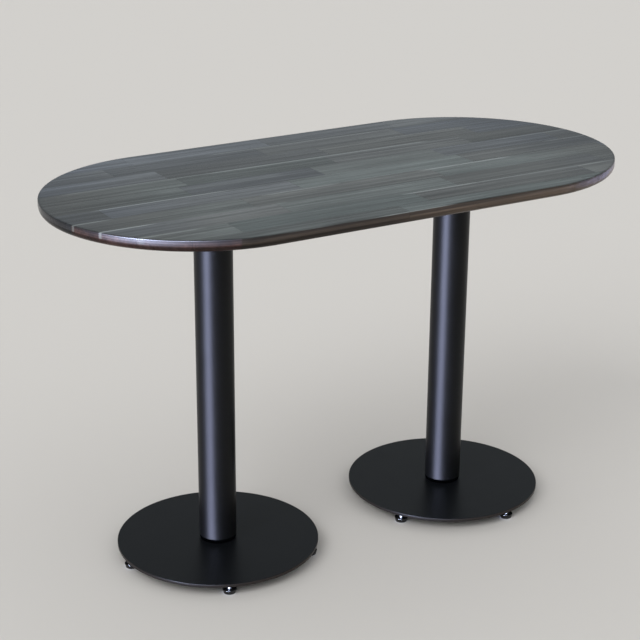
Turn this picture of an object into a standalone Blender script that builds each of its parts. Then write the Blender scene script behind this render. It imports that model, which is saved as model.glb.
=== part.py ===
"""Oval cafe table: a stadium-shaped wooden top on two round-plate steel pedestals with levelling feet.

Metres, +Z up.  The origin lies on the floor under the middle of the top, and X runs along the top.
Each pedestal is held together by one tie rod: a steel base plate, a tube column that sits over a
locating ring, and a cast spider that plugs into the column and is screwed up into the top.
"""
import math

import bmesh
import bpy
import mathutils

# Tabletop
TABLE_HEIGHT = 0.747
TOP_LENGTH = 1.200
TOP_WIDTH = 0.600
TOP_THICKNESS = 0.0225
TOP_ARRIS = 0.002
TOP_LOWER_ROUND = 0.0105

# Columns
COLUMN_SPACING = 0.550
COLUMN_DIAMETER = 0.075
COLUMN_WALL = 0.002
COLUMN_FOOT_CHAMFER = 0.0015
SPIGOT_WALL = 0.004
SPIGOT_LENGTH = 0.016
SPIGOT_LEAD_IN = 0.0015

# Base plates
PLATE_DIAMETER = 0.405
PLATE_THICKNESS = 0.0065
PLATE_ARRIS = 0.0008
PLATE_SKIN = 0.001

# Spiders
SPIDER_REACH = 0.150
ARM_ROOT_WIDTH = 0.044
ARM_TIP_WIDTH = 0.030
ARM_THICKNESS = 0.005
RIB_THICKNESS = 0.006
RIB_TIP_DEPTH = 0.003
CUP_DIAMETER = 0.042
HUB_FLOOR = 0.008

# Tie rods, their nuts and washers
ROD_DIAMETER = 0.012
ROD_CHAMFER = 0.001
ROD_PROJECTION = 0.0015
ROD_NUT_FLATS = 0.019
ROD_NUT_HEIGHT = 0.007
WASHER_DIAMETER = 0.032
WASHER_THICKNESS = 0.0025
CUP_HEADROOM = 0.004

# Wood screws through the spider arms
SCREW_DIAMETER = 0.005
SCREW_HEAD_DIAMETER = 0.010
SCREW_HEAD_HEIGHT = 0.0032
SCREW_BITE = 0.0145
SCREW_POINT = 0.004
SCREW_EDGE = 0.014

# Levelling feet
FEET_PER_BASE = 5
FOOT_RIM_INSET = 0.014
LEFT_BASE_TURN = math.radians(32.9)
RIGHT_BASE_TURN = math.radians(64.5)
PAD_DIAMETER = 0.027
PAD_FOOT_DIAMETER = 0.0235
PAD_HEIGHT = 0.009
PAD_SOLE = 0.0028
PAD_CHAMFER = 0.0008
STUD_DIAMETER = 0.008
STUD_CHAMFER = 0.0008
STUD_FLANGE_DIAMETER = 0.0115
STUD_FLANGE_THICKNESS = 0.002
LOCKNUT_FLATS = 0.013
LOCKNUT_HEIGHT = 0.004
STUD_SHOWING = 0.0045
SCREW_IN_TRAVEL = 0.001

# Clearances
SEAT_GAP = 0.0003
FIT_GAP = 0.0003
TRAVEL_GAP = 0.0005

# Facets on round forms
END_STEPS = 30
PLATE_STEPS = 72
COLUMN_STEPS = 48
HUB_STEPS = 32
HIDDEN_STEPS = 24
PAD_STEPS = 16
SMALL_STEPS = 12
ARC_STEPS = 4

# Heights that follow from the sizes above
PLATE_BOTTOM = PAD_HEIGHT + STUD_SHOWING + LOCKNUT_HEIGHT + SEAT_GAP
PLATE_TOP = PLATE_BOTTOM + PLATE_THICKNESS
TOP_UNDERSIDE = TABLE_HEIGHT - TOP_THICKNESS
SPIDER_TOP = TOP_UNDERSIDE - SEAT_GAP
CUP_DEPTH = WASHER_THICKNESS + ROD_NUT_HEIGHT + 2 * SEAT_GAP + ROD_PROJECTION + CUP_HEADROOM
HUB_DEPTH = HUB_FLOOR + CUP_DEPTH
HUB_SHOULDER = SPIDER_TOP - HUB_DEPTH
CUP_FLOOR = SPIDER_TOP - CUP_DEPTH
SPIGOT_RADIUS = COLUMN_DIAMETER / 2 - COLUMN_WALL - FIT_GAP
SPIGOT_BORE = SPIGOT_RADIUS - SPIGOT_WALL
FOOT_CIRCLE = PLATE_DIAMETER / 2 - FOOT_RIM_INSET
FOOT_HOLE_TOP = PLATE_TOP - PLATE_SKIN


def clear_scene():
    for old in list(bpy.data.objects):
        bpy.data.objects.remove(old, do_unlink=True)


def finish(name, colour, roughness, metallic):
    """A plain Principled material."""
    material = bpy.data.materials.new(name)
    material.use_nodes = True
    shader = material.node_tree.nodes["Principled BSDF"]
    shader.inputs["Base Color"].default_value = (*colour, 1.0)
    shader.inputs["Roughness"].default_value = roughness
    shader.inputs["Metallic"].default_value = metallic
    return material


def add_object(name, data, collection, location=(0, 0, 0), parent=None):
    placed = bpy.data.objects.new(name, data)
    collection.objects.link(placed)
    placed.location = location
    placed.parent = parent
    return placed


def add_part(name, mesh, material, location=(0, 0, 0), parent=None):
    """One piece of the table, as its own object with its own finish."""
    part = add_object(name, mesh, PARTS, location, parent)
    if not mesh.materials:
        mesh.materials.append(material)
    return part


def add_cutter(name, mesh):
    """A helper shape that joins or cuts another, kept out of the model."""
    cutter = add_object(name, mesh, CUTTERS)
    cutter.hide_render = True
    cutter.display_type = "WIRE"
    return cutter


def evaluated_mesh(source, name):
    """The object's shape after its modifiers, as a welded mesh in world place."""
    bpy.context.view_layer.update()
    graph = bpy.context.evaluated_depsgraph_get()
    mesh = bpy.data.meshes.new_from_object(source.evaluated_get(graph))
    mesh.name = name
    mesh.transform(source.matrix_world)
    welded = bmesh.new()
    welded.from_mesh(mesh)
    bmesh.ops.remove_doubles(welded, verts=welded.verts, dist=1e-6)
    welded.to_mesh(mesh)
    welded.free()
    return mesh


def shade_round(mesh, sharp_angle=math.radians(35)):
    mesh.shade_smooth()
    mesh.set_sharp_from_angle(angle=sharp_angle)


def turned(name, profile, steps, hollow=False):
    """Turn a profile of (radius, height) points about Z.  The outer side runs from top to bottom."""
    outline = bpy.data.meshes.new(name)
    edges = [(i, i + 1) for i in range(len(profile) - 1)]
    if hollow:
        edges.append((len(profile) - 1, 0))
    outline.from_pydata([(radius, 0, height) for radius, height in profile], edges, [])
    lathe = add_object(name, outline, CUTTERS)
    screw = lathe.modifiers.new("turn", "SCREW")
    screw.axis = "Z"
    screw.angle = math.tau
    screw.steps = screw.render_steps = steps
    screw.use_merge_vertices = True
    screw.merge_threshold = 1e-5
    mesh = evaluated_mesh(lathe, name)
    bpy.data.objects.remove(lathe)
    bpy.data.meshes.remove(outline)
    shade_round(mesh)
    return mesh


def extruded(name, outline, thickness, top):
    """A flat closed outline of (x, y) points, with its upper face at the given height."""
    curve = bpy.data.curves.new(name, "CURVE")
    curve.dimensions = "2D"
    curve.fill_mode = "BOTH"
    curve.extrude = thickness / 2
    spline = curve.splines.new("POLY")
    spline.points.add(len(outline) - 1)
    for point, (x, y) in zip(spline.points, outline):
        point.co = (x, y, 0, 1)
    spline.use_cyclic_u = True
    plate = add_object(name, curve, CUTTERS, (0, 0, top - thickness / 2))
    mesh = evaluated_mesh(plate, name)
    bpy.data.objects.remove(plate)
    bpy.data.curves.remove(curve)
    return mesh


def rods(name, centres, radius, low, high, steps):
    """Upright cylinders as one mesh, for cutting holes."""
    drilled = bmesh.new()
    for x, y in centres:
        made = bmesh.ops.create_cone(
            drilled, cap_ends=True, segments=steps, radius1=radius, radius2=radius, depth=high - low
        )
        bmesh.ops.translate(drilled, verts=made["verts"], vec=(x, y, (low + high) / 2))
    mesh = bpy.data.meshes.new(name)
    drilled.to_mesh(mesh)
    drilled.free()
    return mesh


def combined(name, base, changes):
    """Join and cut a mesh in turn: changes is a list of (operation, mesh)."""
    body = add_object(name, base, CUTTERS)
    helpers = []
    for step, (operation, shape) in enumerate(changes):
        helper = add_cutter(f"{name}_{operation.lower()}_{step}", shape)
        change = body.modifiers.new(helper.name, "BOOLEAN")
        change.operation = operation
        change.solver = "EXACT"
        change.object = helper
        helpers.append(helper)
    mesh = evaluated_mesh(body, name)
    for helper in [body, *helpers]:
        bpy.data.objects.remove(helper)
    shade_round(mesh)
    return mesh


def arc(centre_x, centre_y, radius, start, end, steps):
    """Points along an arc, with both its ends, angles in degrees."""
    points = []
    for step in range(steps + 1):
        angle = math.radians(start + (end - start) * step / steps)
        points.append((centre_x + radius * math.cos(angle), centre_y + radius * math.sin(angle)))
    return points


def screw_places():
    """Where the wood screws go through one spider, about its column's axis."""
    along = (SPIDER_REACH - SCREW_EDGE) / math.sqrt(2)
    return [(along, along), (-along, along), (-along, -along), (along, -along)]


def ring_places(count, radius):
    return [
        (radius * math.cos(math.tau * i / count), radius * math.sin(math.tau * i / count))
        for i in range(count)
    ]


def tabletop_mesh():
    """An edge-glued board: a stadium with a fine upper arris and a lower edge that rolls under."""
    radius = TOP_WIDTH / 2
    middle = TOP_LENGTH / 2 - radius
    outline = arc(middle, 0, radius, -90, 90, END_STEPS) + arc(-middle, 0, radius, 90, 270, END_STEPS)
    blank = extruded("tabletop_blank", outline, TOP_THICKNESS, TABLE_HEIGHT)
    board = bmesh.new()
    board.from_mesh(blank)
    bmesh.ops.dissolve_limit(
        board,
        angle_limit=math.radians(0.5),
        verts=board.verts,
        edges=board.edges,
        use_dissolve_boundaries=False,
    )
    mid_height = TABLE_HEIGHT - TOP_THICKNESS / 2
    for offset, segments, side in ((TOP_ARRIS, 2, 1), (TOP_LOWER_ROUND, ARC_STEPS, -1)):
        rim = [
            edge
            for edge in board.edges
            if all((vert.co.z - mid_height) * side > 0 for vert in edge.verts)
            and edge.calc_face_angle(0) > math.radians(80)
        ]
        bmesh.ops.bevel(board, geom=rim, offset=offset, segments=segments, profile=0.5, affect="EDGES")
    board.to_mesh(blank)
    board.free()
    pilots = []
    for side in (-1, 1):
        pilots += [(x + side * COLUMN_SPACING / 2, y) for x, y in screw_places()]
    holes = rods(
        "pilot_holes",
        pilots,
        SCREW_DIAMETER / 2 + FIT_GAP,
        TOP_UNDERSIDE - SCREW_BITE,
        TOP_UNDERSIDE + SCREW_BITE + SEAT_GAP,
        SMALL_STEPS,
    )
    return combined("tabletop", blank, [("DIFFERENCE", holes)])


def base_plate_mesh():
    """A flat steel disc with a rod hole, and blind holes tapped from below for its feet near the rim."""
    rim = PLATE_DIAMETER / 2
    section = [
        (0, PLATE_TOP),
        (rim - PLATE_ARRIS, PLATE_TOP),
        (rim, PLATE_TOP - PLATE_ARRIS),
        (rim, PLATE_BOTTOM + PLATE_ARRIS),
        (rim - PLATE_ARRIS, PLATE_BOTTOM),
        (0, PLATE_BOTTOM),
    ]
    disc = turned("base_plate_disc", section, PLATE_STEPS)
    low = PLATE_BOTTOM - PLATE_THICKNESS
    high = PLATE_TOP + PLATE_THICKNESS
    rod_hole = rods("rod_hole", [(0, 0)], ROD_DIAMETER / 2 + FIT_GAP, low, high, SMALL_STEPS)
    feet = ring_places(FEET_PER_BASE, FOOT_CIRCLE)
    foot_holes = rods("foot_holes", feet, STUD_DIAMETER / 2 + FIT_GAP, low, FOOT_HOLE_TOP, SMALL_STEPS)
    return combined("base_plate", disc, [("DIFFERENCE", rod_hole), ("DIFFERENCE", foot_holes)])


def column_mesh():
    outer = COLUMN_DIAMETER / 2
    inner = outer - COLUMN_WALL
    low = PLATE_TOP + SEAT_GAP
    high = HUB_SHOULDER - SEAT_GAP
    foot = outer - COLUMN_FOOT_CHAMFER
    section = [(outer, high), (outer, low + COLUMN_FOOT_CHAMFER), (foot, low), (inner, low), (inner, high)]
    return turned("column", section, COLUMN_STEPS, hollow=True)


def locating_ring_mesh():
    """The ring on the base plate that centres the column's foot."""
    low = PLATE_TOP + SEAT_GAP
    high = low + SPIGOT_LENGTH
    section = [
        (SPIGOT_RADIUS - SPIGOT_LEAD_IN, high),
        (SPIGOT_RADIUS, high - SPIGOT_LEAD_IN),
        (SPIGOT_RADIUS, low),
        (SPIGOT_BORE, low),
        (SPIGOT_BORE, high),
    ]
    return turned("locating_ring", section, HIDDEN_STEPS, hollow=True)


def spider_mesh():
    """A casting: a cupped hub with a spigot for the column, and four tapered arms with ribs beneath."""
    hub = COLUMN_DIAMETER / 2
    spigot_end = HUB_SHOULDER - SPIGOT_LENGTH
    body = turned(
        "spider_hub",
        [
            (0, SPIDER_TOP),
            (hub, SPIDER_TOP),
            (hub, HUB_SHOULDER),
            (SPIGOT_RADIUS, HUB_SHOULDER),
            (SPIGOT_RADIUS, spigot_end + SPIGOT_LEAD_IN),
            (SPIGOT_RADIUS - SPIGOT_LEAD_IN, spigot_end),
            (0, spigot_end),
        ],
        HUB_STEPS,
    )
    # One long tapered bar reaches across two opposite arms, with a rib on edge below it.
    tip = ARM_TIP_WIDTH / 2
    root = ARM_ROOT_WIDTH / 2
    tip_centre = SPIDER_REACH - tip
    bar = (
        arc(tip_centre, 0, tip, -90, 90, 2 * ARC_STEPS)
        + [(0, root)]
        + arc(-tip_centre, 0, tip, 90, 270, 2 * ARC_STEPS)
        + [(0, -root)]
    )
    arm_underside = SPIDER_TOP - ARM_THICKNESS
    rib_reach = SPIDER_REACH - SCREW_EDGE - SCREW_HEAD_DIAMETER
    rib = [
        (rib_reach, arm_underside + ARM_THICKNESS / 2),
        (-rib_reach, arm_underside + ARM_THICKNESS / 2),
        (-rib_reach, arm_underside - RIB_TIP_DEPTH),
        (-hub, HUB_SHOULDER + SEAT_GAP),
        (hub, HUB_SHOULDER + SEAT_GAP),
        (rib_reach, arm_underside - RIB_TIP_DEPTH),
    ]
    changes = []
    for turn in (math.pi / 4, -math.pi / 4):
        arm = extruded("spider_arm", bar, ARM_THICKNESS, SPIDER_TOP)
        turn_mesh(arm, turn, "Z")
        web = extruded("spider_rib", rib, RIB_THICKNESS, RIB_THICKNESS / 2)
        turn_mesh(web, math.pi / 2, "X")
        turn_mesh(web, turn, "Z")
        changes += [("UNION", arm), ("UNION", web)]
    rod_hole = ROD_DIAMETER / 2 + FIT_GAP
    cup = CUP_DIAMETER / 2
    hollow = turned(
        "spider_hollow",
        [
            (0, SPIDER_TOP + CUP_DEPTH),
            (cup, SPIDER_TOP + CUP_DEPTH),
            (cup, CUP_FLOOR),
            (rod_hole, CUP_FLOOR),
            (rod_hole, HUB_SHOULDER),
            (SPIGOT_BORE, HUB_SHOULDER),
            (SPIGOT_BORE, spigot_end - SPIGOT_LENGTH),
            (0, spigot_end - SPIGOT_LENGTH),
        ],
        HIDDEN_STEPS,
    )
    holes = rods(
        "spider_screw_holes",
        screw_places(),
        SCREW_DIAMETER / 2 + FIT_GAP,
        arm_underside - ARM_THICKNESS,
        SPIDER_TOP + ARM_THICKNESS,
        SMALL_STEPS,
    )
    changes += [("DIFFERENCE", hollow), ("DIFFERENCE", holes)]
    return combined("spider", body, changes)


def turn_mesh(mesh, angle, axis):
    shape = bmesh.new()
    shape.from_mesh(mesh)
    turn = mathutils.Matrix.Rotation(angle, 3, axis)
    bmesh.ops.rotate(shape, verts=shape.verts, cent=(0, 0, 0), matrix=turn)
    shape.to_mesh(mesh)
    shape.free()


def hex_nut_mesh(name, flats, height, bore):
    """A hexagon nut standing on z = 0."""
    hexagon = ring_places(6, flats / math.sqrt(3))
    blank = extruded(name + "_blank", hexagon, height, height)
    thread = rods(name + "_bore", [(0, 0)], bore, -height, 2 * height, SMALL_STEPS)
    return combined(name, blank, [("DIFFERENCE", thread)])


def washer_mesh():
    """A plain washer standing on z = 0."""
    rim = WASHER_DIAMETER / 2
    bore = ROD_DIAMETER / 2 + FIT_GAP
    section = [(rim, WASHER_THICKNESS), (rim, 0), (bore, 0), (bore, WASHER_THICKNESS)]
    return turned("washer", section, PAD_STEPS, hollow=True)


def tie_rod_mesh(low, high):
    radius = ROD_DIAMETER / 2
    section = [
        (0, high),
        (radius - ROD_CHAMFER, high),
        (radius, high - ROD_CHAMFER),
        (radius, low + ROD_CHAMFER),
        (radius - ROD_CHAMFER, low),
        (0, low),
    ]
    return turned("tie_rod", section, SMALL_STEPS)


def wood_screw_mesh():
    """A pan-head screw driven upwards, from its head under the arm to its point in the wood."""
    seat = SPIDER_TOP - ARM_THICKNESS - SEAT_GAP
    tip = TOP_UNDERSIDE + SCREW_BITE
    shank = SCREW_DIAMETER / 2
    head = SCREW_HEAD_DIAMETER / 2
    dome = [
        (head * math.cos(angle), seat - SCREW_HEAD_HEIGHT / 3 - SCREW_HEAD_HEIGHT * 2 / 3 * math.sin(angle))
        for angle in (math.pi / 2 * step / ARC_STEPS for step in range(ARC_STEPS))
    ]
    section = [(0, tip), (shank, tip - SCREW_POINT), (shank, seat), (head, seat)]
    section += [*dome, (0, seat - SCREW_HEAD_HEIGHT)]
    return turned("wood_screw", section, SMALL_STEPS)


def foot_pad_mesh():
    """A moulded pad: a flat top, a side that tapers to the sole, and a socket that traps the stud's flange."""
    rim = PAD_DIAMETER / 2
    foot = PAD_FOOT_DIAMETER / 2
    socket = STUD_FLANGE_DIAMETER / 2 + FIT_GAP
    mouth = STUD_DIAMETER / 2 + FIT_GAP
    socket_top = PAD_SOLE + STUD_FLANGE_THICKNESS + 2 * SEAT_GAP
    section = [(0, PAD_SOLE), (socket, PAD_SOLE), (socket, socket_top)]
    section += [(mouth, socket_top), (mouth, PAD_HEIGHT)]
    section += [(rim - PAD_CHAMFER, PAD_HEIGHT), (rim, PAD_HEIGHT - PAD_CHAMFER)]
    section += [(foot, PAD_CHAMFER), (foot - PAD_CHAMFER, 0), (0, 0)]
    return turned("foot_pad", section, PAD_STEPS)


def foot_stud_mesh():
    """A threaded stud whose foot is a flange that turns in the pad."""
    radius = STUD_DIAMETER / 2
    flange = STUD_FLANGE_DIAMETER / 2
    flange_low = PAD_SOLE + SEAT_GAP
    flange_high = flange_low + STUD_FLANGE_THICKNESS
    tip = FOOT_HOLE_TOP - SCREW_IN_TRAVEL - TRAVEL_GAP
    section = [
        (0, tip),
        (radius - STUD_CHAMFER, tip),
        (radius, tip - STUD_CHAMFER),
        (radius, flange_high),
        (flange, flange_high),
        (flange, flange_low),
        (0, flange_low),
    ]
    return turned("foot_stud", section, SMALL_STEPS)


def empty(name, location=(0, 0, 0), turn=0.0, parent=None):
    """A guide that carries pieces."""
    guide = add_object(name, None, CUTTERS, location, parent)
    guide.rotation_euler = (0, 0, turn)
    guide.hide_render = True
    return guide


def add_pedestal(side, x, base_turn, meshes):
    """One column with its base plate, feet, spider, tie rod and fixings."""
    pedestal = empty(f"{side}_pedestal", (x, 0, 0))
    base = empty(f"{side}_base", turn=base_turn, parent=pedestal)
    add_part(f"{side}_base_plate", meshes["base_plate"], POWDER_COAT, parent=base)
    add_part(f"{side}_locating_ring", meshes["locating_ring"], BARE_STEEL, parent=pedestal)
    add_part(f"{side}_column", meshes["column"], POWDER_COAT, parent=pedestal)
    add_part(f"{side}_spider", meshes["spider"], CAST_IRON, parent=pedestal)
    add_part(f"{side}_tie_rod", meshes["tie_rod"], ZINC, parent=pedestal)
    washer_low = PLATE_BOTTOM - SEAT_GAP - WASHER_THICKNESS
    nut_low = washer_low - SEAT_GAP - ROD_NUT_HEIGHT
    washer_high = CUP_FLOOR + SEAT_GAP
    nut_high = washer_high + WASHER_THICKNESS + SEAT_GAP
    add_part(f"{side}_lower_washer", meshes["washer"], ZINC, (0, 0, washer_low), pedestal)
    add_part(f"{side}_lower_nut", meshes["rod_nut"], ZINC, (0, 0, nut_low), pedestal)
    add_part(f"{side}_upper_washer", meshes["washer"], ZINC, (0, 0, washer_high), pedestal)
    add_part(f"{side}_upper_nut", meshes["rod_nut"], ZINC, (0, 0, nut_high), pedestal)
    for number, (screw_x, screw_y) in enumerate(screw_places(), 1):
        add_part(f"{side}_wood_screw_{number}", meshes["wood_screw"], ZINC, (screw_x, screw_y, 0), pedestal)
    locknut_low = PLATE_BOTTOM - SEAT_GAP - LOCKNUT_HEIGHT
    for number, (foot_x, foot_y) in enumerate(ring_places(FEET_PER_BASE, FOOT_CIRCLE), 1):
        place = (foot_x, foot_y, 0)
        nut_place = (foot_x, foot_y, locknut_low)
        add_part(f"{side}_foot_pad_{number}", meshes["foot_pad"], BLACK_PLASTIC, place, base)
        add_part(f"{side}_foot_stud_{number}", meshes["foot_stud"], ZINC, place, base)
        add_part(f"{side}_foot_locknut_{number}", meshes["locknut"], BLACK_ZINC, nut_place, base)


clear_scene()
PARTS = bpy.data.collections.new("oval_cafe_table")
CUTTERS = bpy.data.collections.new("cutters")
bpy.context.scene.collection.children.link(PARTS)
bpy.context.scene.collection.children.link(CUTTERS)

STAINED_WOOD = finish("stained_wood", (0.085, 0.080, 0.078), 0.38, 0.0)
POWDER_COAT = finish("black_powder_coat", (0.012, 0.012, 0.014), 0.45, 0.0)
CAST_IRON = finish("black_cast_iron", (0.015, 0.015, 0.016), 0.65, 0.0)
BARE_STEEL = finish("bare_steel", (0.35, 0.35, 0.36), 0.45, 1.0)
ZINC = finish("zinc_plate", (0.55, 0.56, 0.58), 0.35, 1.0)
BLACK_ZINC = finish("black_zinc_plate", (0.05, 0.05, 0.055), 0.4, 1.0)
BLACK_PLASTIC = finish("black_plastic", (0.010, 0.010, 0.011), 0.2, 0.0)

add_part("tabletop", tabletop_mesh(), STAINED_WOOD)
rod_low = PLATE_BOTTOM - 2 * SEAT_GAP - WASHER_THICKNESS - ROD_NUT_HEIGHT - ROD_PROJECTION
rod_high = CUP_FLOOR + 2 * SEAT_GAP + WASHER_THICKNESS + ROD_NUT_HEIGHT + ROD_PROJECTION
shared = {
    "base_plate": base_plate_mesh(),
    "locating_ring": locating_ring_mesh(),
    "column": column_mesh(),
    "spider": spider_mesh(),
    "tie_rod": tie_rod_mesh(rod_low, rod_high),
    "washer": washer_mesh(),
    "rod_nut": hex_nut_mesh("rod_nut", ROD_NUT_FLATS, ROD_NUT_HEIGHT, ROD_DIAMETER / 2 + FIT_GAP),
    "wood_screw": wood_screw_mesh(),
    "foot_pad": foot_pad_mesh(),
    "foot_stud": foot_stud_mesh(),
    "locknut": hex_nut_mesh("locknut", LOCKNUT_FLATS, LOCKNUT_HEIGHT, STUD_DIAMETER / 2 + FIT_GAP),
}
add_pedestal("left", -COLUMN_SPACING / 2, LEFT_BASE_TURN, shared)
add_pedestal("right", COLUMN_SPACING / 2, RIGHT_BASE_TURN, shared)
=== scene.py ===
"""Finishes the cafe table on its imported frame: finer meshes, materials, pale floor, soft light and camera.

The sections follow the table as it is put together, from the base plates up to the wooden top.
Metres, +Z up, X along the top.
"""
import math

import bmesh
import bpy
from mathutils import Matrix, Vector


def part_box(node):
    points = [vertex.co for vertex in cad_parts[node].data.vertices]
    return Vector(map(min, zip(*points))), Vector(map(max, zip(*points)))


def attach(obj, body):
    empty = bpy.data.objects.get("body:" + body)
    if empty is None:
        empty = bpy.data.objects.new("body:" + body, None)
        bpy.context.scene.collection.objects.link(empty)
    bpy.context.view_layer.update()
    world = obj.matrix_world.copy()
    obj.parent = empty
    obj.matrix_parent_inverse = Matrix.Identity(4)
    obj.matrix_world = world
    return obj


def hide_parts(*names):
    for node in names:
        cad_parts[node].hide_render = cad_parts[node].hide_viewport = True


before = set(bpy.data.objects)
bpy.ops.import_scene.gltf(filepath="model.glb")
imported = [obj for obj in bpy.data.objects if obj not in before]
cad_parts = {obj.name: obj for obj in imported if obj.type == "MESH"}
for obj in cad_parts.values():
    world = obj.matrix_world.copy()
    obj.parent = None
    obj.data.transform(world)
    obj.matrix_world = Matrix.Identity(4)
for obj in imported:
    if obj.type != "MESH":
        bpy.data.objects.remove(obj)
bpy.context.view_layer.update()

# Base plates: two discs cut from flat steel plate, their arrises just broken, with blind holes tapped
# from below for the feet.  They are coated with a matt black powder that leaves a fine sandy skin,
# and the tie rod clamps each one under its column.
SIDES = ("left", "right")
PLATE_DIAMETER = 0.405
PLATE_ARRIS = 0.0008
PLATE_SKIN = 0.001
ROD_HOLE_DIAMETER = 0.0126
FOOT_HOLE_DIAMETER = 0.0086
FEET_PER_BASE = 5
PLATE_STEPS = 192
HOLE_STEPS = 32
FLAT_MARGIN = 0.0008
WELD_DISTANCE = 2e-6
SHARP_ANGLE = 32
MATT_BLACK = (0.0042, 0.0048, 0.0058, 1)
RIM_REFLECTION_COLOUR = (0.030, 0.025, 0.023, 1)
RIM_REFLECTION_WIDTH = 0.0007
SKIN_GRAINS = 900.0
SKIN_MOTTLE = 17.0
SKIN_DEPTH = 0.0002


def middle(cad_node):
    """The centre of a CAD node's box."""
    low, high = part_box(cad_node)
    return (low + high) / 2


def arc(radius, height, bend, start, end, steps=5):
    """Points of a rounded corner in a turned profile, about a centre, angles in degrees."""
    angles = [math.radians(start + (end - start) * step / steps) for step in range(steps + 1)]
    return [(radius + bend * math.cos(angle), height + bend * math.sin(angle)) for angle in angles]


def turned_wall(shape, profile, steps):
    """Adds the surface that a line of (radius, height) points makes when it is turned about Z."""
    line = [shape.verts.new((radius, 0, height)) for radius, height in profile]
    edges = [shape.edges.new(pair) for pair in zip(line, line[1:])]
    bmesh.ops.spin(
        shape, geom=line + edges, cent=(0, 0, 0), axis=(0, 0, 1), angle=math.tau, steps=steps, use_merge=True
    )


def finished_mesh(name, shape, sharp=SHARP_ANGLE):
    """Welds a shape into a closed mesh that is shaded smooth apart from its sharp edges."""
    bmesh.ops.remove_doubles(shape, verts=shape.verts, dist=WELD_DISTANCE)
    bmesh.ops.recalc_face_normals(shape, faces=shape.faces)
    mesh = bpy.data.meshes.new(name)
    shape.to_mesh(mesh)
    shape.free()
    mesh.shade_smooth()
    mesh.set_sharp_from_angle(angle=math.radians(sharp))
    return mesh


def turned(name, profile, steps):
    """A whole piece turned from a closed profile."""
    shape = bmesh.new()
    turned_wall(shape, profile, steps)
    return finished_mesh(name, shape)


def carved(name, mesh, changes, sharp=SHARP_ANGLE):
    """Cuts or joins a mesh with others in turn: changes is a list of (operation, mesh)."""
    blank = bpy.data.objects.new(name, mesh)
    bpy.context.scene.collection.objects.link(blank)
    tools = []
    for operation, tool_mesh in changes:
        tool = bpy.data.objects.new(name + "_tool", tool_mesh)
        bpy.context.scene.collection.objects.link(tool)
        step = blank.modifiers.new(operation, "BOOLEAN")
        step.operation = operation
        step.solver = "EXACT"
        step.object = tool
        tools.append(tool)
    bpy.context.view_layer.update()
    made = bpy.data.meshes.new_from_object(blank.evaluated_get(bpy.context.evaluated_depsgraph_get()))
    for used in [blank, *tools]:
        bpy.data.objects.remove(used)
    shape = bmesh.new()
    shape.from_mesh(made)
    return finished_mesh(name, shape, sharp)


def cylinders(name, places, radius, low, high, steps=HOLE_STEPS):
    """Upright cylinders at (x, y) places, for drilling."""
    shape = bmesh.new()
    for x, y in places:
        rod = bmesh.ops.create_cone(
            shape, cap_ends=True, segments=steps, radius1=radius, radius2=radius, depth=high - low
        )
        bmesh.ops.translate(shape, verts=rod["verts"], vec=(x, y, (low + high) / 2))
    return finished_mesh(name, shape)


def set_piece(name, mesh, place, material, body, cad_node):
    """Puts a finished piece where its CAD node is, on the node's body and in its stead."""
    piece = bpy.data.objects.new(name, mesh)
    bpy.context.scene.collection.objects.link(piece)
    piece.location = place
    if not mesh.materials:
        mesh.materials.append(material)
    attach(piece, body)
    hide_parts(cad_node)
    return piece


def node(tree, kind, inputs=None, **settings):
    """A shader node with its settings; an input is a plain value or another node's output."""
    made = tree.nodes.new(kind)
    for name, value in settings.items():
        setattr(made, name, value)
    for name, value in (inputs or {}).items():
        if isinstance(value, bpy.types.NodeSocket):
            tree.links.new(value, made.inputs[name])
        else:
            made.inputs[name].default_value = value
    return made


def feed(tree, taker, **outputs):
    """Links outputs to a shader's or a group's sockets, whose names are written with underscores."""
    for title, output in outputs.items():
        tree.links.new(output, taker.inputs[title.replace("_", " ")])


def group_tree(name, inputs, outputs):
    """An empty shader node group with named sockets; returns its tree, input node and output node."""
    tree = bpy.data.node_groups.new(name, "ShaderNodeTree")
    for title, kind in inputs.items():
        tree.interface.new_socket(title, in_out="INPUT", socket_type=kind)
    for title, kind in outputs.items():
        tree.interface.new_socket(title, in_out="OUTPUT", socket_type=kind)
    return tree, tree.nodes.new("NodeGroupInput"), tree.nodes.new("NodeGroupOutput")


def use_group(tree, group, **inputs):
    """Places a node group in a material."""
    named = {title.replace("_", " "): value for title, value in inputs.items()}
    return node(tree, "ShaderNodeGroup", named, node_tree=group)


def new_material(name, **values):
    """A Principled material with constant values on its own sockets; returns it, its tree and its shader."""
    material = bpy.data.materials.new(name)
    material.use_nodes = True
    shader = material.node_tree.nodes["Principled BSDF"]
    for title, value in values.items():
        shader.inputs[title.replace("_", " ")].default_value = value
    return material, material.node_tree, shader


def object_place(tree):
    """Where a point lies on its own piece."""
    return node(tree, "ShaderNodeTexCoord").outputs["Object"]


def noise(tree, place, scale, detail):
    """A noise pattern; three scales in place of one draw it out along an axis."""
    if isinstance(scale, tuple):
        place = node(tree, "ShaderNodeMapping", {"Vector": place, "Scale": scale}).outputs["Vector"]
        scale = 1.0
    made = node(tree, "ShaderNodeTexNoise", {"Vector": place, "Scale": scale, "Detail": detail})
    return made.outputs["Fac"]


def ranged(tree, value, first=0.0, last=1.0, low=0.0, high=1.0):
    """A value that runs from low to high as another runs from first to last, and stops there."""
    made = node(
        tree,
        "ShaderNodeMapRange",
        {"Value": value, "From Min": first, "From Max": last, "To Min": low, "To Max": high},
    )
    return made.outputs["Result"]


def length_of(tree, vector):
    """How long a vector is."""
    return node(tree, "ShaderNodeVectorMath", {0: vector}, operation="LENGTH").outputs["Value"]


def mix(tree, share, first, second, blend="MIX"):
    """One colour laid over another."""
    made = node(
        tree,
        "ShaderNodeMix",
        {"Factor": share, "A": first, "B": second},
        data_type="RGBA",
        blend_type=blend,
    )
    return made.outputs["Result"]


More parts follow.
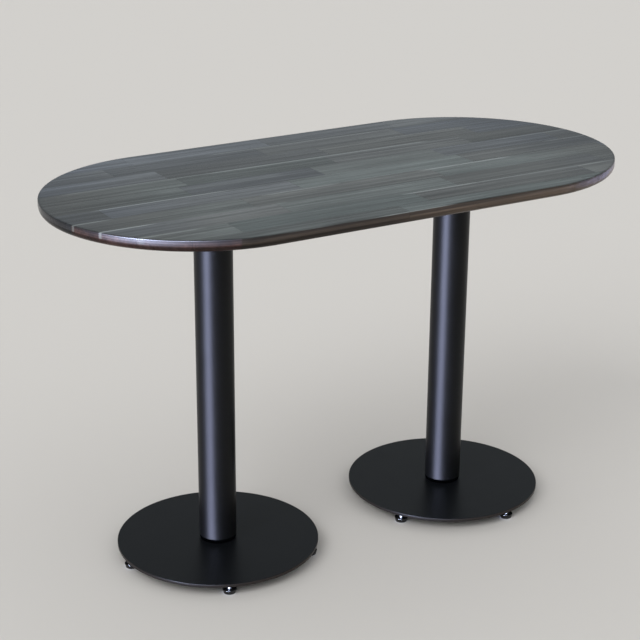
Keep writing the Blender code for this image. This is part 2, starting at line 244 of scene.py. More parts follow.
def relief(tree, height, strength, depth):
    """The normal of a surface with a fine relief."""
    made = node(tree, "ShaderNodeBump", {"Height": height, "Strength": strength, "Distance": depth})
    return made.outputs["Normal"]


# The skin of baked powder, paint or moulded plastic: fine grains, and a faint unevenness over a hand's width.
fine_skin, skin_in, skin_out = group_tree(
    "fine_skin",
    {"Vector": "NodeSocketVector", "Grains per metre": "NodeSocketFloat"},
    {"Height": "NodeSocketFloat", "Mottle": "NodeSocketFloat"},
)
feed(
    fine_skin,
    skin_out,
    Height=noise(fine_skin, skin_in.outputs["Vector"], skin_in.outputs["Grains per metre"], detail=2.0),
    Mottle=noise(fine_skin, skin_in.outputs["Vector"], SKIN_MOTTLE, detail=3.0),
)


def skin_finish(name, colour, smooth, rough, bump, **values):
    """Powder, paint or plastic with a fine skin, its gloss varying between two roughnesses."""
    material, tree, shader = new_material(name, Base_Color=colour, **values)
    skin = use_group(tree, fine_skin, Vector=object_place(tree), Grains_per_metre=SKIN_GRAINS)
    feed(
        tree,
        shader,
        Roughness=ranged(tree, skin.outputs["Mottle"], low=smooth, high=rough),
        Normal=relief(tree, skin.outputs["Height"], bump, SKIN_DEPTH),
    )
    return material


matt_powder = skin_finish(
    "matt_black_powder", MATT_BLACK, smooth=0.32, rough=0.40, bump=0.25, Specular_IOR_Level=0.11
)
plate_tree = matt_powder.node_tree
on_plan = node(plate_tree, "ShaderNodeMapping", {"Vector": object_place(plate_tree), "Scale": (1, 1, 0)})
from_axis = length_of(plate_tree, on_plan.outputs["Vector"])
# Painted reflection: a warm pale band just at the rim stands for the floor seen in the plate's arris.
painted_rim_reflection = ranged(plate_tree, from_axis, PLATE_DIAMETER / 2 - RIM_REFLECTION_WIDTH, PLATE_DIAMETER / 2)
plate_colour = mix(plate_tree, painted_rim_reflection, MATT_BLACK, RIM_REFLECTION_COLOUR)
feed(plate_tree, plate_tree.nodes["Principled BSDF"], Base_Color=plate_colour)

for side in SIDES:
    low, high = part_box(f"{side}_base_plate")
    centre = middle(f"{side}_base_plate")
    flat = PLATE_DIAMETER / 2 - PLATE_ARRIS
    bore = ROD_HOLE_DIAMETER / 2
    section = [(bore, high.z), (flat - FLAT_MARGIN, high.z)]
    section += arc(flat, high.z - PLATE_ARRIS, PLATE_ARRIS, 90, 0)
    section += arc(flat, low.z + PLATE_ARRIS, PLATE_ARRIS, 0, -90)
    section += [(flat - FLAT_MARGIN, low.z), (bore, low.z), (bore, high.z)]
    disc = turned(f"{side}_plate_disc", section, PLATE_STEPS)
    feet = [middle(f"{side}_foot_stud_{number}") - centre for number in range(1, FEET_PER_BASE + 1)]
    drills = cylinders(
        "foot_drills",
        [(foot.x, foot.y) for foot in feet],
        FOOT_HOLE_DIAMETER / 2,
        low.z - PLATE_SKIN,
        high.z - PLATE_SKIN,
    )
    plate = carved(f"{side}_plate_disc", disc, [("DIFFERENCE", drills)])
    set_piece(
        f"{side}_plate_disc",
        plate,
        (centre.x, centre.y, 0),
        matt_powder,
        "table",
        f"{side}_base_plate",
    )

# Levelling feet: each is an M8 stud of bright zinc-plated steel whose flange turns in a moulded pad.  It
# screws up into the base plate, and a thin black-plated hexagon nut locks it from below.
# The pads are injection moulded in polished black plastic, with a flat top and a side that tapers inwards.
PAD_DIAMETER = 0.027
PAD_FOOT_DIAMETER = 0.0235
PAD_HEIGHT = 0.009
PAD_SOLE = 0.0028
PAD_ROUND = 0.0008
PAD_STEPS = 64
SOCKET_DIAMETER = 0.0121
MOUTH_DIAMETER = 0.0086
SOCKET_HEIGHT = 0.0026
STUD_DIAMETER = 0.008
STUD_CORE = 0.0066
STUD_PITCH = 0.00125
STUD_FLANGE = 0.0115
STUD_FLANGE_THICKNESS = 0.002
STUD_STEPS = 32
THREAD_RIDGE = (0.0, 0.12, 0.72, 1.0, 0.72, 0.12)
THREAD_SHARP = 60
LOCKNUT_FLATS = 0.013
LOCKNUT_BORE = 0.0084
NUT_FACE_SHARE = 0.475
NUT_CHAMFER_ANGLE = 30
NUT_COUNTERSINK = 0.0006
NUT_CUT_SPARE = 0.001
NUT_STEPS = 96
NUT_SHARP = 20
POLISHED_BLACK = (0.0085, 0.0085, 0.0095, 1)
BLACK_PLATING = (0.045, 0.045, 0.05, 1)
BLACK_PLATING_WORN = (0.075, 0.074, 0.08, 1)
ZINC_DULL = (0.5, 0.51, 0.53, 1)
ZINC_BRIGHT = (0.63, 0.64, 0.64, 1)
PLATING_PATCHES = 90.0
DRAWN_STREAKS = (200, 200, 3000)
STREAK_STRENGTH = 0.08
STREAK_DEPTH = 0.0001


def thread_wall(shape, core, crest, pitch, low, high, steps):
    """Adds a right-hand screw thread that fades into a plain ring of the core's radius at each end."""
    rows = len(THREAD_RIDGE)
    count = math.ceil((high - low) / pitch * rows) + rows
    grid = {}
    for row in range(-rows, count + 1):
        for step in range(steps):
            angle = math.tau * step / steps
            height = low + pitch * (row / rows + step / steps)
            height = min(max(height, low), high)
            fade = min(1.0, 2 * (height - low) / pitch, 2 * (high - height) / pitch)
            radius = core + (crest - core) * THREAD_RIDGE[row % rows] * fade
            grid[row, step] = shape.verts.new((radius * math.cos(angle), radius * math.sin(angle), height))
    for row in range(-rows, count):
        for step in range(steps):
            ahead = (row, step + 1) if step + 1 < steps else (row + rows, 0)
            above = (ahead[0] + 1, ahead[1])
            if above in grid:
                shape.faces.new((grid[row, step], grid[ahead], grid[above], grid[row + 1, step]))


def hex_nut(name, flats, height, bore):
    """A hexagon nut on z = 0, its corners turned off by a chamfer and its bore countersunk."""
    corner = flats / math.sqrt(3)
    face = NUT_FACE_SHARE * flats
    drop = (corner - face) * math.tan(math.radians(NUT_CHAMFER_ANGLE))
    mouth = bore + NUT_COUNTERSINK + NUT_CUT_SPARE
    prism = bmesh.new()
    made = bmesh.ops.create_cone(
        prism, cap_ends=True, segments=6, radius1=corner, radius2=corner, depth=height
    )
    bmesh.ops.rotate(prism, verts=made["verts"], matrix=Matrix.Rotation(math.pi / 6, 3, "Z"))
    bmesh.ops.translate(prism, verts=made["verts"], vec=(0, 0, height / 2))
    barrel = turned(
        name + "_barrel",
        [(0, height), (face, height), (corner, height - drop), (corner, drop), (face, 0), (0, 0)],
        NUT_STEPS,
    )
    drill = turned(
        name + "_drill",
        [
            (0, height + NUT_CUT_SPARE),
            (mouth, height + NUT_CUT_SPARE),
            (bore, height - NUT_COUNTERSINK),
            (bore, NUT_COUNTERSINK),
            (mouth, -NUT_CUT_SPARE),
            (0, -NUT_CUT_SPARE),
        ],
        STUD_STEPS,
    )
    blank = finished_mesh(name, prism)
    return carved(name, blank, [("INTERSECT", barrel), ("DIFFERENCE", drill)], NUT_SHARP)


# How a plated or bare metal surface varies: slow patches in the plating, and fine drawn streaks.
metal_bloom, bloom_in, bloom_out = group_tree(
    "metal_bloom", {"Vector": "NodeSocketVector"}, {"Patch": "NodeSocketFloat", "Streak": "NodeSocketFloat"}
)
feed(
    metal_bloom,
    bloom_out,
    Patch=noise(metal_bloom, bloom_in.outputs["Vector"], PLATING_PATCHES, detail=3.0),
    Streak=noise(metal_bloom, bloom_in.outputs["Vector"], DRAWN_STREAKS, detail=2.0),
)


def metal_finish(name, dark, light, smooth, rough):
    """A plated or bare metal whose colour follows its patches and whose gloss follows its streaks."""
    material, tree, shader = new_material(name, Metallic=1.0)
    bloom = use_group(tree, metal_bloom, Vector=object_place(tree))
    feed(
        tree,
        shader,
        Base_Color=mix(tree, bloom.outputs["Patch"], dark, light),
        Roughness=ranged(tree, bloom.outputs["Streak"], low=smooth, high=rough),
        Normal=relief(tree, bloom.outputs["Streak"], STREAK_STRENGTH, STREAK_DEPTH),
    )
    return material


black_zinc = metal_finish("black_zinc", BLACK_PLATING, BLACK_PLATING_WORN, smooth=0.3, rough=0.5)
bright_zinc = metal_finish("bright_zinc", ZINC_DULL, ZINC_BRIGHT, smooth=0.24, rough=0.42)
polished_plastic = skin_finish(
    "polished_black_plastic", POLISHED_BLACK, smooth=0.1, rough=0.22, bump=0.03, Specular_IOR_Level=0.5
)

pad_rim = PAD_DIAMETER / 2
pad_foot = PAD_FOOT_DIAMETER / 2
socket_top = PAD_SOLE + SOCKET_HEIGHT
pad_section = [(0, PAD_SOLE), (SOCKET_DIAMETER / 2, PAD_SOLE), (SOCKET_DIAMETER / 2, socket_top)]
pad_section += [(MOUTH_DIAMETER / 2, socket_top), (MOUTH_DIAMETER / 2, PAD_HEIGHT)]
pad_section += [(pad_rim - PAD_ROUND - FLAT_MARGIN, PAD_HEIGHT)]
pad_section += arc(pad_rim - PAD_ROUND, PAD_HEIGHT - PAD_ROUND, PAD_ROUND, 90, 0)
pad_section += arc(pad_foot - PAD_ROUND, PAD_ROUND, PAD_ROUND, 0, -90)
pad_section += [(0, 0)]
pad_mesh = turned("foot_pad_moulding", pad_section, PAD_STEPS)

stud_low, stud_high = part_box("left_foot_stud_1")
shank_low = stud_low.z + STUD_FLANGE_THICKNESS
flange = STUD_FLANGE / 2
core = STUD_CORE / 2
stud = bmesh.new()
turned_wall(
    stud, [(0, stud_low.z), (flange, stud_low.z), (flange, shank_low), (core, shank_low)], STUD_STEPS
)
thread_wall(stud, core, STUD_DIAMETER / 2, STUD_PITCH, shank_low, stud_high.z, STUD_STEPS)
turned_wall(stud, [(core, stud_high.z), (0, stud_high.z)], STUD_STEPS)
stud_mesh = finished_mesh("foot_stud_thread", stud, THREAD_SHARP)

nut_low, nut_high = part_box("left_foot_locknut_1")
locknut_mesh = hex_nut("foot_locknut_hexagon", LOCKNUT_FLATS, nut_high.z - nut_low.z, LOCKNUT_BORE / 2)

for side in SIDES:
    first_foot = middle(f"{side}_foot_stud_1") - middle(f"{side}_base_plate")
    for number in range(1, FEET_PER_BASE + 1):
        axis = middle(f"{side}_foot_stud_{number}")
        on_floor = (axis.x, axis.y, 0)
        locknut = set_piece(
            f"{side}_locknut_{number}",
            locknut_mesh,
            (axis.x, axis.y, nut_low.z),
            black_zinc,
            "table",
            f"{side}_foot_locknut_{number}",
        )
        locknut.rotation_euler.z = math.atan2(first_foot.y, first_foot.x)
        set_piece(
            f"{side}_threaded_stud_{number}",
            stud_mesh,
            on_floor,
            bright_zinc,
            f"{side}_stud_{number}",
            f"{side}_foot_stud_{number}",
        )
        set_piece(
            f"{side}_moulded_pad_{number}",
            pad_mesh,
            on_floor,
            polished_plastic,
            f"{side}_pad_{number}",
            f"{side}_foot_pad_{number}",
        )

# Locating rings: short lengths of thick steel tube, faced in a lathe and tacked to the plates.
# They centre the feet of the columns and are out of sight inside them.
STEEL_DULL = (0.3, 0.3, 0.31, 1)
STEEL_BRIGHT = (0.42, 0.42, 0.43, 1)


def dress(cad_node, material):
    """Gives its finish to a piece that keeps its CAD shape."""
    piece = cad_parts[cad_node]
    piece.data.materials.clear()
    piece.data.materials.append(material)
    return piece


bare_steel = metal_finish("faced_steel", STEEL_DULL, STEEL_BRIGHT, smooth=0.32, rough=0.52)
for side in SIDES:
    dress(f"{side}_locating_ring", bare_steel)

# Columns: welded steel tube, sawn to length and coated with a satin black powder.  The foot is tapered in
# a little, and the taper is given a darker black with no shine as painted shade, so that it shows as a
# dark line on the plate.  Each column stands over its locating ring and is held by nothing but the pull
# of the tie rod.
COLUMN_DIAMETER = 0.075
COLUMN_WALL = 0.002
COLUMN_CHAMFER = 0.0005
COLUMN_FOOT_TAPER = 0.0085
COLUMN_FOOT_INSET = 0.0018
COLUMN_SHOULDER = 0.00731
COLUMN_SHOULDER_INSET = 0.0003
COLUMN_STEPS = 128
SATIN_BLACK = (0.0032, 0.0033, 0.0032, 1)
FOOT_SHADE_BLACK = (0.0012, 0.0014, 0.0018, 1)

satin_powder = skin_finish(
    "satin_black_powder", SATIN_BLACK, smooth=0.32, rough=0.38, bump=0.2, Specular_IOR_Level=0.13
)
# The taper at the foot: a darker black with no shine, painted shade for the shadowed joint with the plate.
foot_painted_shade = skin_finish(
    "painted_foot_shade", FOOT_SHADE_BLACK, smooth=0.7, rough=0.85, bump=0.2, Specular_IOR_Level=0.0
)
for side in SIDES:
    low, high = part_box(f"{side}_column")
    centre = middle(f"{side}_column")
    outer = COLUMN_DIAMETER / 2
    inner = outer - COLUMN_WALL
    section = [
        (inner, high.z),
        (outer - COLUMN_CHAMFER, high.z),
        (outer, high.z - COLUMN_CHAMFER),
        (outer, low.z + COLUMN_FOOT_TAPER + FLAT_MARGIN),
        (outer, low.z + COLUMN_FOOT_TAPER),
        (outer - COLUMN_SHOULDER_INSET, low.z + COLUMN_SHOULDER),
        (outer - COLUMN_FOOT_INSET, low.z),
        (inner, low.z),
        (inner, high.z),
    ]
    tube = turned(f"{side}_column_tube", section, COLUMN_STEPS)
    tube.materials.append(satin_powder)
    tube.materials.append(foot_painted_shade)
    for face in tube.polygons:
        face.material_index = int(face.center.z < low.z + COLUMN_FOOT_TAPER)
    set_piece(
        f"{side}_column_tube",
        tube,
        (centre.x, centre.y, 0),
        satin_powder,
        "table",
        f"{side}_column",
    )

# Tie rods, washers and nuts: a 12 mm steel rod, threaded at both ends and zinc plated, runs up each
# column from under the base plate to the cup of the spider, and its two nuts clamp the pedestal.
ROD_DIAMETER = 0.012
ROD_CORE = 0.0101
ROD_PITCH = 0.00175
ROD_THREAD = 0.032
ROD_CHAMFER = 0.001
ROD_STEPS = 32
NUT_FLATS = 0.019
WASHER_DIAMETER = 0.032
WASHER_EDGE = 0.0004
WASHER_BORE = 0.0126
WASHER_STEPS = 64

rod_low, rod_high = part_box("left_tie_rod")
core = ROD_CORE / 2
full = ROD_DIAMETER / 2
lower_end = rod_low.z + ROD_THREAD
upper_end = rod_high.z - ROD_THREAD
rod = bmesh.new()
turned_wall(
    rod,
    [(0, rod_low.z), (core - ROD_CHAMFER, rod_low.z), (core, rod_low.z + ROD_CHAMFER)],
    ROD_STEPS,
)
thread_wall(rod, core, full, ROD_PITCH, rod_low.z + ROD_CHAMFER, lower_end, ROD_STEPS)
turned_wall(
    rod,
    [(core, lower_end), (full, lower_end + ROD_CHAMFER), (full, upper_end - ROD_CHAMFER), (core, upper_end)],
    ROD_STEPS,
)
thread_wall(rod, core, full, ROD_PITCH, upper_end, rod_high.z - ROD_CHAMFER, ROD_STEPS)
turned_wall(
    rod,
    [(core, rod_high.z - ROD_CHAMFER), (core - ROD_CHAMFER, rod_high.z), (0, rod_high.z)],
    ROD_STEPS,
)
rod_mesh = finished_mesh("threaded_rod", rod, THREAD_SHARP)

low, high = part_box("left_lower_washer")
washer_thickness = high.z - low.z
washer_rim = WASHER_DIAMETER / 2 - WASHER_EDGE
washer_section = [(WASHER_BORE / 2, washer_thickness)]
washer_section += arc(washer_rim, washer_thickness - WASHER_EDGE, WASHER_EDGE, 90, 0, steps=3)
washer_section += arc(washer_rim, WASHER_EDGE, WASHER_EDGE, 0, -90, steps=3)
washer_section += [(WASHER_BORE / 2, 0), (WASHER_BORE / 2, washer_thickness)]
washer_mesh = turned("plain_washer", washer_section, WASHER_STEPS)

low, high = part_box("left_lower_nut")
rod_nut_mesh = hex_nut("rod_nut", NUT_FLATS, high.z - low.z, WASHER_BORE / 2)

for side in SIDES:
    axis = middle(f"{side}_tie_rod")
    set_piece(
        f"{side}_threaded_rod", rod_mesh, (axis.x, axis.y, 0), bright_zinc, "table", f"{side}_tie_rod"
    )
    for end in ("lower", "upper"):
        for part, mesh in (("washer", washer_mesh), ("nut", rod_nut_mesh)):
            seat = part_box(f"{side}_{end}_{part}")[0].z
            set_piece(
                f"{side}_{end}_rod_{part}",
                mesh,
                (axis.x, axis.y, seat),
                bright_zinc,
                "table",
                f"{side}_{end}_{part}",
            )

# Spiders: four-armed castings that join the columns to the top.  Each has a cupped hub for the upper
# nut, a spigot that plugs into the column and a rib under every arm, and is painted black as cast.
CAST_EDGE = 0.0011
CAST_EDGE_STEPS = 3
CAST_EDGE_ANGLE = 40
CAST_FLAT_ANGLE = 2
CAST_WELD = 1e-6
CAST_BLACK = (0.014, 0.014, 0.0155, 1)
CAST_SMOOTH = 0.5
CAST_ROUGH = 0.72
CAST_SWELL = 60.0
SAND_GRAINS = 420.0
SAND_STRENGTH = 0.45
SAND_DEPTH = 0.0006

cast_paint, cast_tree, cast_shader = new_material(
    "black_cast_iron", Base_Color=CAST_BLACK, Specular_IOR_Level=0.35
)
cast_place = object_place(cast_tree)
sand = noise(cast_tree, cast_place, SAND_GRAINS, detail=4.0)
swell = noise(cast_tree, cast_place, CAST_SWELL, detail=2.0)
feed(
    cast_tree,
    cast_shader,
    Roughness=ranged(cast_tree, swell, low=CAST_SMOOTH, high=CAST_ROUGH),
    Normal=relief(cast_tree, sand, SAND_STRENGTH, SAND_DEPTH),
)
for side in SIDES:
    spider = dress(f"{side}_spider", cast_paint)
    weld = spider.modifiers.new("one_skin", "WELD")
    weld.merge_threshold = CAST_WELD
    flats = spider.modifiers.new("whole_flats", "DECIMATE")
    flats.decimate_type = "DISSOLVE"
    flats.angle_limit = math.radians(CAST_FLAT_ANGLE)
    rounded = spider.modifiers.new("cast_edges", "BEVEL")
    rounded.width = CAST_EDGE
    rounded.segments = CAST_EDGE_STEPS
    rounded.limit_method = "ANGLE"
    rounded.angle_limit = math.radians(CAST_EDGE_ANGLE)
    rounded.harden_normals = True

# Tabletop: staves of dark-stained hardwood glued edge to edge and butted end to end, planed, cut to a
# stadium and lacquered to a satin sheen.  Its upper arris is barely eased and its lower edge rolls under.
# It rests on the spiders and is held by their screws.
TOP_LENGTH = 1.2
TOP_WIDTH = 0.6
TOP_ARRIS = 0.002
TOP_LOWER_ROUND = 0.0105
END_STEPS = 96
CAP_MARGIN = 0.004

board_low, board_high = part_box("tabletop")
board_section = [(TOP_ARRIS + CAP_MARGIN, board_high.z)]
board_section += [
    (TOP_ARRIS - out, height)
    for out, height in arc(0, board_high.z - TOP_ARRIS, TOP_ARRIS, 90, 0, steps=6)
]
board_section += [
    (TOP_LOWER_ROUND - out, height)
    for out, height in arc(0, board_low.z + TOP_LOWER_ROUND, TOP_LOWER_ROUND, 0, -90, steps=12)
]
board_section += [(TOP_LOWER_ROUND + CAP_MARGIN, board_low.z)]
board = bmesh.new()
straight = (TOP_LENGTH - TOP_WIDTH) / 2
outlines = []
for inset, height in board_section:
    outline = []
    for end, turn in ((straight, -math.pi / 2), (-straight, math.pi / 2)):
        for step in range(END_STEPS + 1):
            angle = turn + math.pi * step / END_STEPS
            reach = TOP_WIDTH / 2 - inset
            outline.append(board.verts.new((end + reach * math.cos(angle), reach * math.sin(angle), height)))
    outlines.append(outline)
for upper, lower in zip(outlines, outlines[1:]):
    for step in range(len(upper)):
        board.faces.new((upper[step - 1], lower[step - 1], lower[step], upper[step]))
board.faces.new(outlines[0])
board.faces.new(reversed(outlines[-1]))
board_mesh = finished_mesh("tabletop_board", board)

# How the staves lie: rows of one width, each row's staves of its own length and start, every stave with
# its own tone, hue and fibre, a hairline at each glue joint, and pale runs along some seams that are painted
# highlights of their eased edges, each given as the seam's number, where the run starts and ends, its width
# and how pale it is.
STAVE_WIDTH = 0.062
FIRST_SEAM = 0.235
SHORT_STAVE = 0.26
LONG_STAVE = 0.42
STAVE_LOT = 83.0
ROW_STAGGER = 5.0
FIBRE_SHIFT = (7.0, 3.0, 5.0)
JOINT_WIDTH = 0.0005
PALE_FADE = 0.03
PALE_RUNS = (
    (0, -0.17, 0.25, 0.008, 0.26),
    (1, 0.20, 0.45, 0.005, 0.20),
    (2, -0.54, -0.20, 0.006, 0.25),
    (2, -0.24, 0.29, 0.009, 0.42),
    (3, -0.38, -0.10, 0.036, 0.10),
    (3, 0.41, 0.64, 0.009, 0.26),
    (4, -0.53, -0.24, 0.008, 0.40),
    (4, 0.48, 0.64, 0.008, 0.22),
    (5, -0.64, -0.51, 0.008, 0.40),
    (5, -0.22, -0.04, 0.008, 0.42),
    (5, 0.13, 0.36, 0.010, 0.55),
    (6, -0.64, -0.455, 0.007, 0.70),
    (6, -0.23, -0.19, 0.005, 0.40),
    (7, -0.64, -0.39, 0.012, 0.28),
    (7, 0.01, 0.20, 0.009, 0.50),
    (7, 0.17, 0.51, 0.009, 0.30),
)


def reckon(tree, operation, *values, clamp=False):
    """The output of a Math node."""
    made = node(tree, "ShaderNodeMath", dict(enumerate(values)), operation=operation, use_clamp=clamp)
    return made.outputs[0]


def away_from(tree, value, line):
    """How far a value lies from a line on either side."""
    return reckon(tree, "ABSOLUTE", reckon(tree, "SUBTRACT", value, line))


def near_end(tree, share, length, width):
    """1 within a width of either end of a run that is counted from 0 to 1, and 0 further in."""
    to_end = reckon(tree, "SUBTRACT", 0.5, away_from(tree, share, 0.5))
    return ranged(tree, reckon(tree, "MULTIPLY", to_end, length), width, width / 3)


staves, staves_in, staves_out = group_tree(
    "glued_staves",
    {"Vector": "NodeSocketVector"},
    {
        "Tone": "NodeSocketFloat",
        "Hue": "NodeSocketFloat",
        "Fibre": "NodeSocketVector",
        "Joint": "NodeSocketFloat",
        "Pale run": "NodeSocketFloat",
        "Across": "NodeSocketFloat",
    },
)
board_axes = node(staves, "ShaderNodeSeparateXYZ", {"Vector": staves_in.outputs["Vector"]})
board_x, board_y = board_axes.outputs["X"], board_axes.outputs["Y"]
row_place = reckon(staves, "DIVIDE", reckon(staves, "SUBTRACT", board_y, FIRST_SEAM), STAVE_WIDTH)
row = reckon(staves, "FLOOR", row_place)
across = reckon(staves, "FRACT", row_place)
row_lot = node(
    staves, "ShaderNodeTexWhiteNoise", {"W": reckon(staves, "ADD", row, STAVE_LOT)}, noise_dimensions="1D"
)
row_draw = node(staves, "ShaderNodeSeparateColor", {"Color": row_lot.outputs["Color"]})
stave_length = ranged(staves, row_draw.outputs["Red"], low=SHORT_STAVE, high=LONG_STAVE)
along_place = reckon(
    staves,
    "ADD",
    reckon(staves, "DIVIDE", board_x, stave_length),
    reckon(staves, "MULTIPLY", row_draw.outputs["Green"], ROW_STAGGER),
)
column = reckon(staves, "FLOOR", along_place)
along = reckon(staves, "FRACT", along_place)
stave_key = node(staves, "ShaderNodeCombineXYZ", {"X": row, "Y": column, "Z": STAVE_LOT})
stave_lot = node(
    staves, "ShaderNodeTexWhiteNoise", {"Vector": stave_key.outputs["Vector"]}, noise_dimensions="3D"
)
stave_draw = node(staves, "ShaderNodeSeparateColor", {"Color": stave_lot.outputs["Color"]})
fibre = node(
    staves,
    "ShaderNodeVectorMath",
    {0: stave_lot.outputs["Color"], 1: FIBRE_SHIFT, 2: staves_in.outputs["Vector"]},
    operation="MULTIPLY_ADD",
)
joint = reckon(
    staves,
    "MAXIMUM",
    near_end(staves, across, STAVE_WIDTH, JOINT_WIDTH),
    near_end(staves, along, stave_length, JOINT_WIDTH),
)
pale_run = 0.0
for seam, first, last, width, strength in PALE_RUNS:
    line = FIRST_SEAM - seam * STAVE_WIDTH - width / 2
    half = (last - first) / 2
    beside = ranged(staves, away_from(staves, board_y, line), width / 2, width / 6)
    from_middle = away_from(staves, board_x, (first + last) / 2)
    within = ranged(staves, from_middle, half, max(half - PALE_FADE, 0), high=strength)
    pale_run = reckon(staves, "MAXIMUM", pale_run, reckon(staves, "MULTIPLY", beside, within))
feed(
    staves,
    staves_out,
    Tone=stave_draw.outputs["Red"],
    Hue=stave_draw.outputs["Green"],
    Fibre=fibre.outputs["Vector"],
    Joint=joint,
    Across=across,
    Pale_run=pale_run,
)

# The grain of one stave: slow figure, fine fibres and open pores, all drawn out along its length.
# Each is given by its scales along X, Y and Z and its detail.
GRAIN = {
    "Figure": ((2.6, 34.0, 34.0), 3.0),
    "Streaks": ((1.8, 120.0, 120.0), 3.0),
    "Fibres": ((7.0, 320.0, 320.0), 4.0),
    "Pores": ((36.0, 900.0, 900.0), 1.0),
}
wood_grain, grain_in, grain_out = group_tree(
    "drawn_grain", {"Vector": "NodeSocketVector"}, {title: "NodeSocketFloat" for title in GRAIN}
)
for title, (stretch, detail) in GRAIN.items():
    drawn = noise(wood_grain, grain_in.outputs["Vector"], stretch, detail)
    feed(wood_grain, grain_out, **{title: drawn})

# The stain, with painted light: the face is green, brown and violet greys, lighter and cooler than the
# wood's own stain as a painted reflection of the pale room, that darken towards the rim and the ends.  The
# edge is dark grey and red at the left end, dark brown in the middle and brown at the right, with fine lines
# of the board's layers and bands of painted light and shade by height: darker low on the left and lighter
# low on the right.
FACE_GREEN_WITH_SHEEN = (0.0735, 0.094, 0.094, 1)
FACE_BROWN_WITH_SHEEN = (0.0855, 0.091, 0.090, 1)
FACE_VIOLET_WITH_SHEEN = (0.0775, 0.090, 0.112, 1)
HUE_DRAWN = 0.6
HUE_AT_BACK = 0.35
HUE_AT_ENDS = 0.3
FACE_START = 0.0012
DARK_RIM = 0.005
DARK_END = 0.36
RIM_TONES = (1.0, 0.7)
END_TONES = (1.08, 0.58)
BACK_TONES = (1.05, 0.95)
EDGE_DARK = (0.050, 0.038, 0.029, 1)
EDGE_GREY = (0.018, 0.018, 0.019, 1)
EDGE_DEEP_RED = (0.044, 0.024, 0.020, 1)
EDGE_RED = (0.082, 0.042, 0.038, 1)
EDGE_BROWN = (0.083, 0.062, 0.046, 1)
RED_END = -0.37
RED_SEAM = 5
BROWN_START = -0.073
BROWN_FULL = 0.107
LEFT_EDGE_SHADING = (0.7, 0.5, 0.65, 1.6, 0.9, 0.35)
RIGHT_EDGE_SHADING = (1.35, 1.3, 1.2, 1.0, 0.75, 0.45)
EDGE_LINES = (2.4, 2.4, 330.0)
EDGE_SPREAD = (0.3, 0.7)
EDGE_TONES = (0.6, 1.4)

stained_wood, wood_tree, wood_shader = new_material(
    "stained_staves", Specular_IOR_Level=0.14, Coat_Roughness=0.5, Coat_IOR=1.5
)


def ramp(tree, value, *stops):
    """A colour for a value from 0 to 1, through evenly spaced stops."""
    made = node(tree, "ShaderNodeValToRGB", {"Fac": value})
    while len(made.color_ramp.elements) < len(stops):
        made.color_ramp.elements.new(1.0)
    for index, colour in enumerate(stops):
        made.color_ramp.elements[index].position = index / (len(stops) - 1)
        made.color_ramp.elements[index].color = colour
    return made.outputs["Color"]


def toned_by(tree, *tones):
    """Grey made by multiplying tones, each of which runs from one level to another as a value does."""
    level = 1.0
    for value, first, last, first_tone, last_tone in tones:
        level = reckon(tree, "MULTIPLY", level, ranged(tree, value, first, last, first_tone, last_tone))
    grey = node(tree, "ShaderNodeCombineColor", {"Red": level, "Green": level, "Blue": level})
    return grey.outputs["Color"]


def before_seam(tree, y, seam):
    """1 on the front side of a numbered seam between staves, and 0 behind it."""
    line = FIRST_SEAM - seam * STAVE_WIDTH
    return ranged(tree, y, line + JOINT_WIDTH, line)


wood_place = object_place(wood_tree)
laid = use_group(wood_tree, staves, Vector=wood_place)
grain = use_group(wood_tree, wood_grain, Vector=laid.outputs["Fibre"])
wood_axes = node(wood_tree, "ShaderNodeSeparateXYZ", {"Vector": wood_place})
wood_x, wood_y, wood_z = (wood_axes.outputs[axis] for axis in "XYZ")
on_face = ranged(wood_tree, wood_z, board_high.z - FACE_START, board_high.z - FACE_START / 4)
end_reach = reckon(wood_tree, "ABSOLUTE", wood_x)
past_straight = reckon(wood_tree, "MAXIMUM", reckon(wood_tree, "SUBTRACT", end_reach, straight), 0.0)
from_spine = node(wood_tree, "ShaderNodeCombineXYZ", {"X": past_straight, "Y": wood_y})
rim_reach = length_of(wood_tree, from_spine.outputs["Vector"])

face_hue = reckon(wood_tree, "MULTIPLY", laid.outputs["Hue"], HUE_DRAWN)
for value, first, last, drift in (
    (wood_y, -TOP_WIDTH / 2, TOP_WIDTH / 2, HUE_AT_BACK),
    (end_reach, DARK_END, TOP_LENGTH / 2, HUE_AT_ENDS),
):
    drifted = ranged(wood_tree, value, first, last, high=drift)
    face_hue = reckon(wood_tree, "ADD", face_hue, drifted, clamp=True)
face_tone = toned_by(
    wood_tree,
    (rim_reach, TOP_WIDTH / 2 - DARK_RIM, TOP_WIDTH / 2 - TOP_ARRIS, *RIM_TONES),
    (end_reach, DARK_END, TOP_LENGTH / 2, *END_TONES),
    (wood_y, -TOP_WIDTH / 2, TOP_WIDTH / 2, *BACK_TONES),
)
# The face's greys are the stain lightened and cooled by a painted reflection of the pale room.
face_stain_and_sheen = ramp(wood_tree, face_hue, FACE_GREEN_WITH_SHEEN, FACE_BROWN_WITH_SHEEN, FACE_VIOLET_WITH_SHEEN)
face_stain_and_sheen = mix(wood_tree, 1.0, face_stain_and_sheen, face_tone, "MULTIPLY")

brown_end = ranged(wood_tree, wood_x, BROWN_START, BROWN_FULL)
red_end = ranged(wood_tree, wood_x, RED_END, RED_END - JOINT_WIDTH)
red_staves = reckon(wood_tree, "MINIMUM", red_end, before_seam(wood_tree, wood_y, RED_SEAM))
red_stain = ramp(wood_tree, laid.outputs["Hue"], EDGE_DEEP_RED, EDGE_RED)
edge_colour = mix(wood_tree, red_end, EDGE_DARK, EDGE_GREY)
edge_colour = mix(wood_tree, red_staves, edge_colour, red_stain)
edge_colour = mix(wood_tree, brown_end, edge_colour, EDGE_BROWN)
rise = ranged(wood_tree, wood_z, board_low.z, board_high.z)
